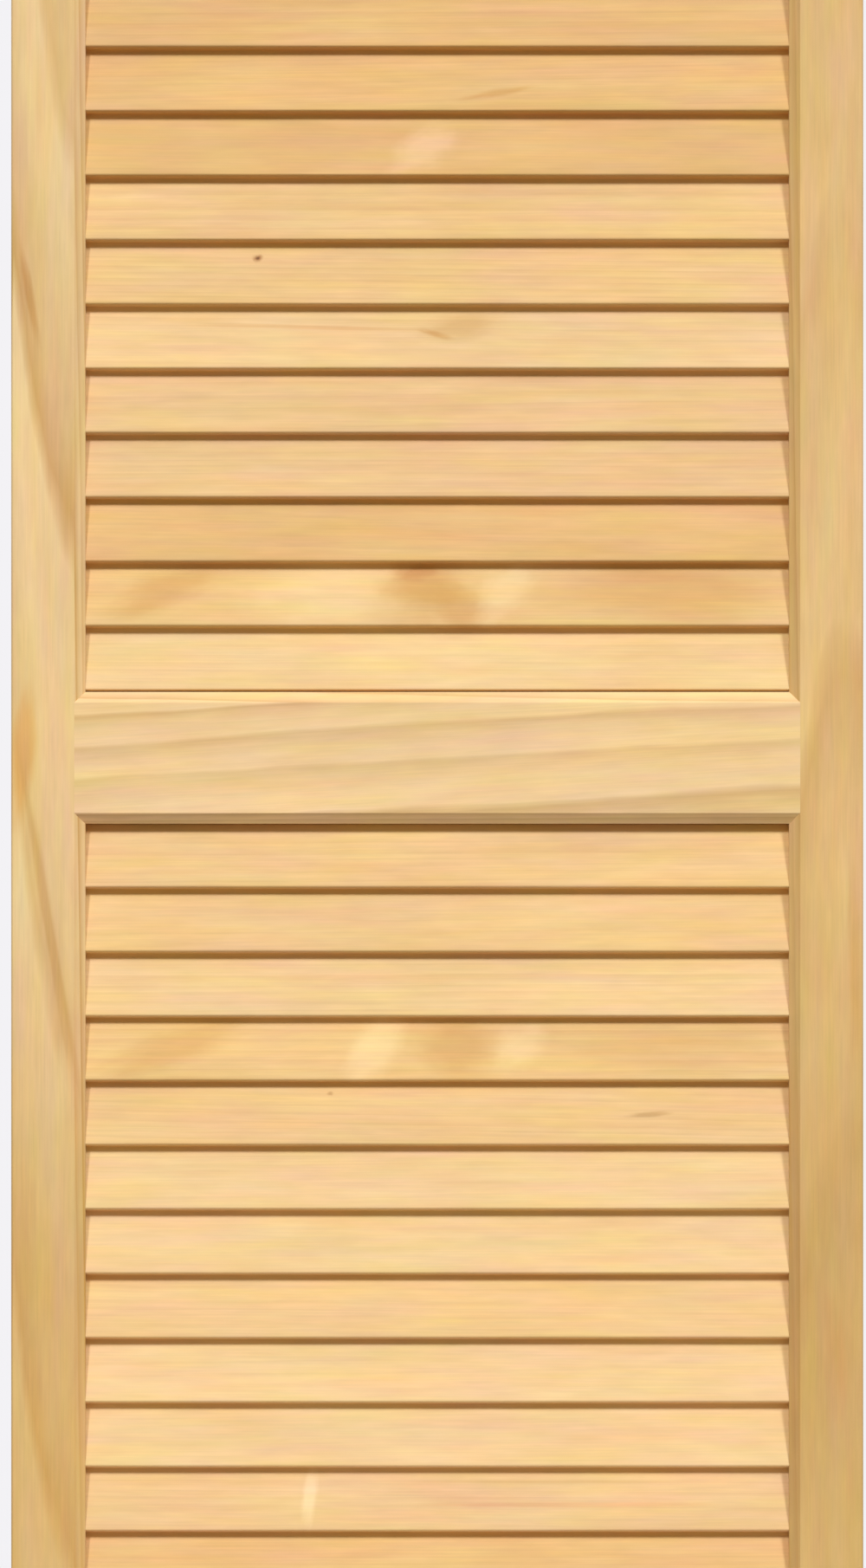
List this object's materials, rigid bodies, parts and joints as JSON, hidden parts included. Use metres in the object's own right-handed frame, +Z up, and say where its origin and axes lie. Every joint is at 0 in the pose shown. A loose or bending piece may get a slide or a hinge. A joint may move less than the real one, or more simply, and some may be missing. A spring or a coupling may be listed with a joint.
{
  "type": "louvred shutter",
  "caption": "Fixed-louvre shutter panel in plain planed pine: bevelled stiles and rails round two fields of tilted slats, mortised and dowelled together.",
  "frame": {"origin": "middle of the panel's bottom edge, halfway through its thickness", "axes": "+Z up along the stiles, +X across the panel to the right as seen from the front, -Y out of the front face, where the slats' lower edges are"},
  "size_m": [0.381, 0.021, 1.194],
  "materials": {
    "stile_pine": "planed and sanded, unfinished",
    "rail_pine": "planed and sanded, unfinished",
    "slat_pine": "planed and sanded, unfinished",
    "dowel_beech": "turned, glued"
  },
  "bodies": {
    "root": {"left_stile": "stile_pine", "right_stile": "stile_pine", "top_rail": "rail_pine", "mid_rail": "rail_pine", "bottom_rail": "rail_pine", "upper_slat_01": "slat_pine", "upper_slat_02": "slat_pine", "upper_slat_03": "slat_pine", "upper_slat_04": "slat_pine", "upper_slat_05": "slat_pine", "upper_slat_06": "slat_pine", "upper_slat_07": "slat_pine", "upper_slat_08": "slat_pine", "upper_slat_09": "slat_pine", "upper_slat_10": "slat_pine", "upper_slat_11": "slat_pine", "upper_slat_12": "slat_pine", "upper_slat_13": "slat_pine", "upper_slat_14": "slat_pine", "upper_slat_15": "slat_pine", "upper_slat_16": "slat_pine", "upper_slat_17": "slat_pine", "lower_slat_01": "slat_pine", "lower_slat_02": "slat_pine", "lower_slat_03": "slat_pine", "lower_slat_04": "slat_pine", "lower_slat_05": "slat_pine", "lower_slat_06": "slat_pine", "lower_slat_07": "slat_pine", "lower_slat_08": "slat_pine", "lower_slat_09": "slat_pine", "lower_slat_10": "slat_pine", "lower_slat_11": "slat_pine", "lower_slat_12": "slat_pine", "lower_slat_13": "slat_pine", "lower_slat_14": "slat_pine", "lower_slat_15": "slat_pine", "lower_slat_16": "slat_pine", "lower_slat_17": "slat_pine", "dowels": "dowel_beech"}
  },
  "joints": []
}
